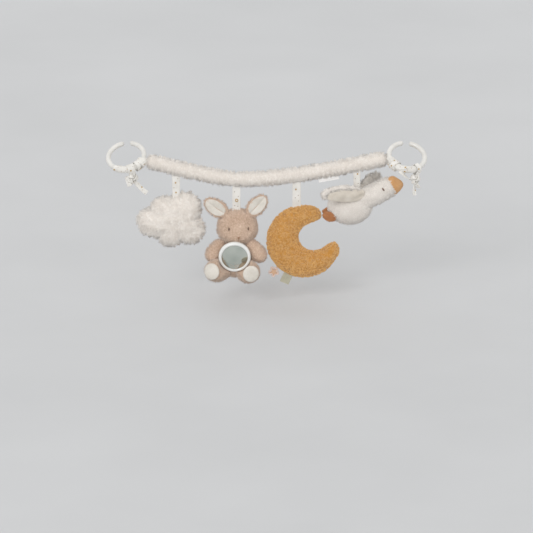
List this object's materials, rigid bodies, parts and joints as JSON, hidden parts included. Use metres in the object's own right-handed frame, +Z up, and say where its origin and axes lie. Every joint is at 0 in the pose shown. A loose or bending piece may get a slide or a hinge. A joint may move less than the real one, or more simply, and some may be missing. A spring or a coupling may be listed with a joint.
{
  "type": "pram chain toy",
  "caption": "Pram chain toy: a sagging plush garland with an open ring at each end, carrying a cloud, a bunny with a mirror, a crescent moon and a goose on ribbon straps.",
  "frame": {"origin": "halfway between the middles of the rings that close round the pram's hood", "axes": "+X from the left ring to the right ring, +Y away from the viewer, +Z up"},
  "size_m": [0.5014, 0.1093, 0.2234],
  "materials": {
    "cream_plush": "long cream pile",
    "tan_plush": "short tan pile",
    "mustard_plush": "looped mustard pile",
    "cotton_ribbon": "woven off-white ribbon with small dots",
    "white_plastic": "white, slightly translucent",
    "rim_plastic": "white, glossy",
    "mirror_face": "mirrored acrylic",
    "cream_lining": "smooth cream cloth",
    "ochre_cloth": "ochre cloth",
    "terracotta_cloth": "terracotta cloth",
    "sage_ribbon": "sage ribbon",
    "peach_felt": "peach felt",
    "brown_thread": "brown embroidery",
    "white_satin": "white satin tape"
  },
  "bodies": {
    "garland": {"garland_sleeve": "cream_plush", "garland_core": "cotton_ribbon", "garland_label": "white_satin"},
    "left_tie": {"left_tie": "cotton_ribbon"},
    "left_ring": {"left_ring": "white_plastic"},
    "left_tails": {"left_tie_tails": "cotton_ribbon"},
    "right_tie": {"right_tie": "cotton_ribbon"},
    "right_ring": {"right_ring": "white_plastic"},
    "right_tails": {"right_tie_tails": "cotton_ribbon"},
    "cloud_strap": {"cloud_strap": "cotton_ribbon"},
    "cloud": {"cloud_front": "cream_plush", "cloud_back": "cream_plush", "rattle_case_front": "white_plastic", "rattle_case_back": "white_plastic", "rattle_ball_1": "white_plastic", "rattle_ball_2": "white_plastic", "rattle_ball_3": "white_plastic"},
    "bunny_strap": {"bunny_strap": "cotton_ribbon"},
    "bunny": {"bunny_head": "tan_plush", "bunny_body": "tan_plush", "mirror_rim": "rim_plastic", "mirror_disc": "mirror_face", "bunny_left_eye": "brown_thread", "bunny_right_eye": "brown_thread", "bunny_nose": "brown_thread", "bunny_left_arm": "tan_plush", "bunny_right_arm": "tan_plush", "bunny_left_leg": "tan_plush", "bunny_right_leg": "tan_plush", "bunny_left_foot_pad": "cream_lining", "bunny_right_foot_pad": "cream_lining"},
    "bunny_left_ear": {"bunny_left_ear": "tan_plush", "bunny_left_ear_lining": "cream_lining"},
    "bunny_right_ear": {"bunny_right_ear": "tan_plush", "bunny_right_ear_lining": "cream_lining"},
    "moon_strap": {"moon_strap": "cotton_ribbon"},
    "moon": {"moon_body": "mustard_plush"},
    "moon_star": {"moon_star": "peach_felt"},
    "moon_tab": {"moon_tab": "sage_ribbon"},
    "goose_strap": {"goose_strap": "cotton_ribbon"},
    "goose": {"goose_body": "cream_plush", "goose_head": "cream_plush", "goose_beak": "ochre_cloth", "goose_near_eye": "brown_thread", "goose_far_eye": "brown_thread"},
    "goose_near_wing": {"goose_near_wing": "cream_plush"},
    "goose_far_wing": {"goose_far_wing": "cream_plush"},
    "goose_near_foot": {"goose_near_foot": "terracotta_cloth"},
    "goose_far_foot": {"goose_far_foot": "terracotta_cloth"}
  },
  "joints": [
    {"name": "left_tie_turn", "type": "hinge", "parent": "garland", "child": "left_tie", "pos_m": [-0.18913, -0.01757, -0.00045], "axis": [0, 0, 1], "range_deg": [-20, 20], "stiffness_Nm_per_rad": 0.004},
    {"name": "left_ring_turn", "type": "hinge", "parent": "left_tie", "child": "left_ring", "pos_m": [-0.219, 0, 0], "axis": [-0.1246, -0.4997, 0.8572], "range_deg": [-100, 100]},
    {"name": "left_tails_swing", "type": "hinge", "parent": "left_tie", "child": "left_tails", "pos_m": [-0.20816, -0.02305, -0.02126], "axis": [1, 0, 0], "range_deg": [-25, 25]},
    {"name": "right_tie_turn", "type": "hinge", "parent": "garland", "child": "right_tie", "pos_m": [0.19068, -0.01757, 0.0034], "axis": [0, 0, 1], "range_deg": [-20, 8], "stiffness_Nm_per_rad": 0.004},
    {"name": "right_ring_turn", "type": "hinge", "parent": "right_tie", "child": "right_ring", "pos_m": [0.219, 0, 0], "axis": [-0.1246, 0.4997, -0.8572], "range_deg": [-100, 100]},
    {"name": "right_tails_swing", "type": "hinge", "parent": "right_tie", "child": "right_tails", "pos_m": [0.23171, -0.0208, -0.02337], "axis": [1, 0, 0], "range_deg": [-25, 25]},
    {"name": "cloud_swing", "type": "hinge", "parent": "garland", "child": "cloud_strap", "pos_m": [-0.141, -0.01757, -0.02436], "axis": [0.9697, 0, -0.2444], "range_deg": [-30, 30]},
    {"name": "cloud_twist", "type": "hinge", "parent": "cloud_strap", "child": "cloud", "pos_m": [-0.141, -0.01757, -0.02436], "axis": [0, 0, 1], "range_deg": [-20, 20], "stiffness_Nm_per_rad": 0.001},
    {"name": "bunny_swing", "type": "hinge", "parent": "garland", "child": "bunny_strap", "pos_m": [-0.047, -0.01757, -0.04227], "axis": [0.9986, 0, -0.0527], "range_deg": [-30, 30]},
    {"name": "bunny_twist", "type": "hinge", "parent": "bunny_strap", "child": "bunny", "pos_m": [-0.047, -0.01757, -0.04227], "axis": [0, 0, 1], "range_deg": [-20, 20], "stiffness_Nm_per_rad": 0.001},
    {"name": "moon_swing", "type": "hinge", "parent": "garland", "child": "moon_strap", "pos_m": [0.047, -0.01757, -0.0354], "axis": [0.9889, 0, 0.1485], "range_deg": [-30, 30]},
    {"name": "moon_twist", "type": "hinge", "parent": "moon_strap", "child": "moon", "pos_m": [0.047, -0.01757, -0.0354], "axis": [0, 0, 1], "range_deg": [-20, 20], "stiffness_Nm_per_rad": 0.001},
    {"name": "goose_swing", "type": "hinge", "parent": "garland", "child": "goose_strap", "pos_m": [0.141, -0.01757, -0.01832], "axis": [0.9799, 0, 0.1995], "range_deg": [-30, 30]},
    {"name": "goose_twist", "type": "hinge", "parent": "goose_strap", "child": "goose", "pos_m": [0.141, -0.01757, -0.01832], "axis": [0, 0, 1], "range_deg": [-20, 20], "stiffness_Nm_per_rad": 0.001},
    {"name": "bunny_left_ear_fold", "type": "hinge", "parent": "bunny", "child": "bunny_left_ear", "pos_m": [-0.06498, -0.02362, -0.08524], "axis": [-0.5736, 0, -0.8192], "range_deg": [-20, 20], "stiffness_Nm_per_rad": 0.01},
    {"name": "bunny_right_ear_fold", "type": "hinge", "parent": "bunny", "child": "bunny_right_ear", "pos_m": [-0.02602, -0.02362, -0.08524], "axis": [-0.7547, 0, 0.6561], "range_deg": [-20, 20], "stiffness_Nm_per_rad": 0.01},
    {"name": "moon_star_fold", "type": "hinge", "parent": "moon", "child": "moon_star", "pos_m": [0.01769, -0.01757, -0.17661], "axis": [0.7314, 0, -0.682], "range_deg": [-25, 25], "stiffness_Nm_per_rad": 0.002},
    {"name": "moon_tab_fold", "type": "hinge", "parent": "moon", "child": "moon_tab", "pos_m": [0.03416, -0.01757, -0.18716], "axis": [0.9135, 0, -0.4067], "range_deg": [-25, 25], "stiffness_Nm_per_rad": 0.002},
    {"name": "goose_near_wing_flap", "type": "hinge", "parent": "goose", "child": "goose_near_wing", "pos_m": [0.14977, -0.03058, -0.05188], "axis": [0.0893, 0.0367, 0.9953], "range_deg": [-5, 20], "stiffness_Nm_per_rad": 0.01},
    {"name": "goose_near_foot_flap", "type": "hinge", "parent": "goose", "child": "goose_near_foot", "pos_m": [0.10903, -0.02777, -0.09638], "axis": [-0.4067, 0, -0.9135], "range_deg": [-15, 4], "stiffness_Nm_per_rad": 0.01},
    {"name": "goose_far_wing_flap", "type": "hinge", "parent": "goose", "child": "goose_far_wing", "pos_m": [0.14977, -0.00457, -0.05188], "axis": [-0.0659, -0.1122, 0.9915], "range_deg": [-20, 20], "stiffness_Nm_per_rad": 0.01},
    {"name": "goose_far_foot_flap", "type": "hinge", "parent": "goose", "child": "goose_far_foot", "pos_m": [0.10903, -0.00737, -0.09638], "axis": [-0.4067, 0, -0.9135], "range_deg": [-4, 15], "stiffness_Nm_per_rad": 0.01}
  ]
}
